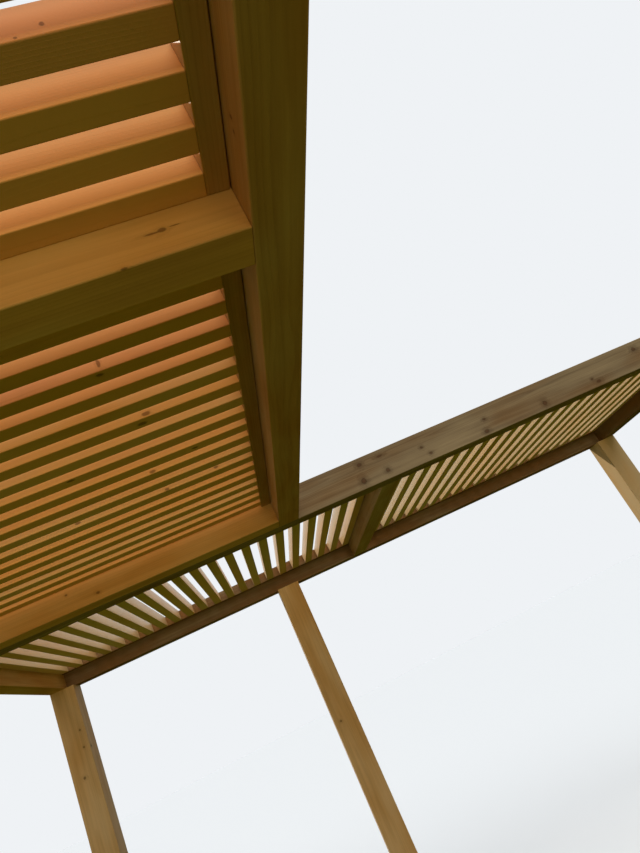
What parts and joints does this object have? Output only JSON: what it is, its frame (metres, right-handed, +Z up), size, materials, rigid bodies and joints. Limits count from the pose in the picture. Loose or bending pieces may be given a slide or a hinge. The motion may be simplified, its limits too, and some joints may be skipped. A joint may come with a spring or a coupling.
{
  "type": "open timber pergola",
  "caption": "Open pergola with an L-shaped plan: square posts carry timber beams that frame level panels of spaced slats, to shade a terrace.",
  "frame": {"origin": "centre of the overall plan box, on the ground", "axes": "+X to the right along the back strip, +Y from the wing's free end towards the strip's back beam, +Z up"},
  "size_m": [4.16, 5.15, 2.345],
  "materials": {
    "post_timber": "planed, honey-brown stain",
    "beam_timber": "planed, honey-brown stain",
    "stile_timber": "planed, honey-brown stain",
    "slat_timber": "planed, honey-brown stain"
  },
  "bodies": {
    "root": {"back_left_post": "post_timber", "back_middle_post": "post_timber", "back_right_post": "post_timber", "front_right_post": "post_timber", "inner_left_post": "post_timber", "near_left_post": "post_timber", "near_right_post": "post_timber", "strip_back_beam": "beam_timber", "strip_front_beam": "beam_timber", "strip_left_end_beam": "beam_timber", "strip_cross_beam": "beam_timber", "strip_right_end_beam": "beam_timber", "wing_left_side_beam": "beam_timber", "wing_right_side_beam": "beam_timber", "wing_near_end_beam": "beam_timber", "wing_cross_beam": "beam_timber", "wing_far_end_beam": "beam_timber", "strip_left_louvre_front_stile": "stile_timber", "strip_left_louvre_back_stile": "stile_timber", "strip_right_louvre_front_stile": "stile_timber", "strip_right_louvre_back_stile": "stile_timber", "wing_near_louvre_left_stile": "stile_timber", "wing_near_louvre_right_stile": "stile_timber", "wing_far_louvre_left_stile": "stile_timber", "wing_far_louvre_right_stile": "stile_timber", "strip_left_louvre_slats": "slat_timber", "strip_right_louvre_slats": "slat_timber", "wing_near_louvre_slats": "slat_timber", "wing_far_louvre_slats": "slat_timber"}
  },
  "joints": []
}
